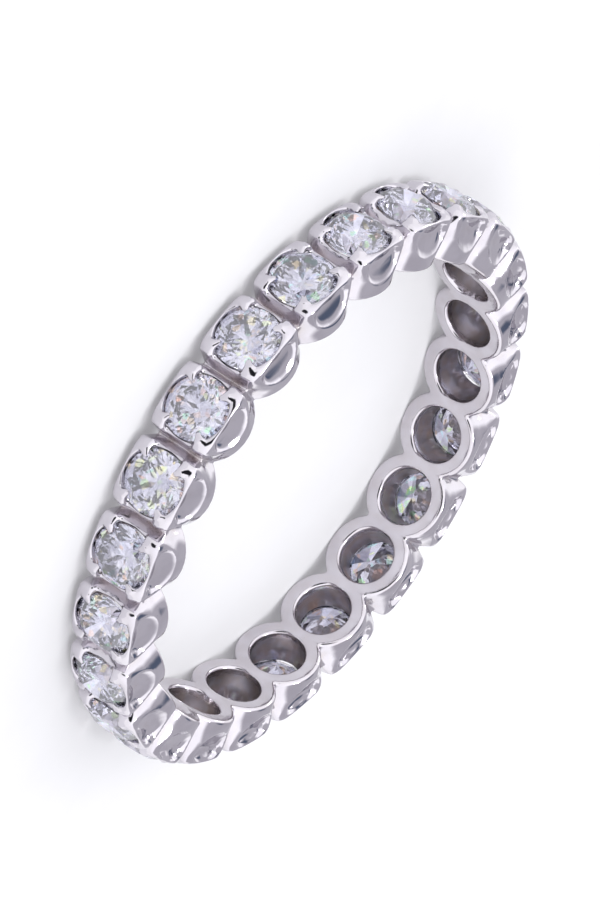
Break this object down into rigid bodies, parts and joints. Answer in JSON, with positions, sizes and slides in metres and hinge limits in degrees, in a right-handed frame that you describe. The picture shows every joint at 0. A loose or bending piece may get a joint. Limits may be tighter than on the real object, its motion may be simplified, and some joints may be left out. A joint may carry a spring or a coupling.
{
  "type": "diamond wedding band",
  "caption": "Full eternity band: a cast white metal ring of joined round cups with scooped sides, each holding a brilliant with four small claws.",
  "frame": {"origin": "on the ring's axis, level with the lowest lobes that the ring rests on when it lies on its side", "axes": "+Z along the finger hole, up from the table the ring lies on; -Y is the side the camera faces, with stone_01 in its middle; the stones follow counter-clockwise seen from +Z"},
  "size_m": [0.0202, 0.0202, 0.0027],
  "materials": {
    "white_gold": "polished",
    "diamond": "gloss"
  },
  "bodies": {
    "root": {"band": "white_gold", "stone_01": "diamond", "stone_02": "diamond", "stone_03": "diamond", "stone_04": "diamond", "stone_05": "diamond", "stone_06": "diamond", "stone_07": "diamond", "stone_08": "diamond", "stone_09": "diamond", "stone_10": "diamond", "stone_11": "diamond", "stone_12": "diamond", "stone_13": "diamond", "stone_14": "diamond", "stone_15": "diamond", "stone_16": "diamond", "stone_17": "diamond", "stone_18": "diamond", "stone_19": "diamond", "stone_20": "diamond", "stone_21": "diamond", "stone_22": "diamond", "stone_23": "diamond"}
  },
  "joints": []
}
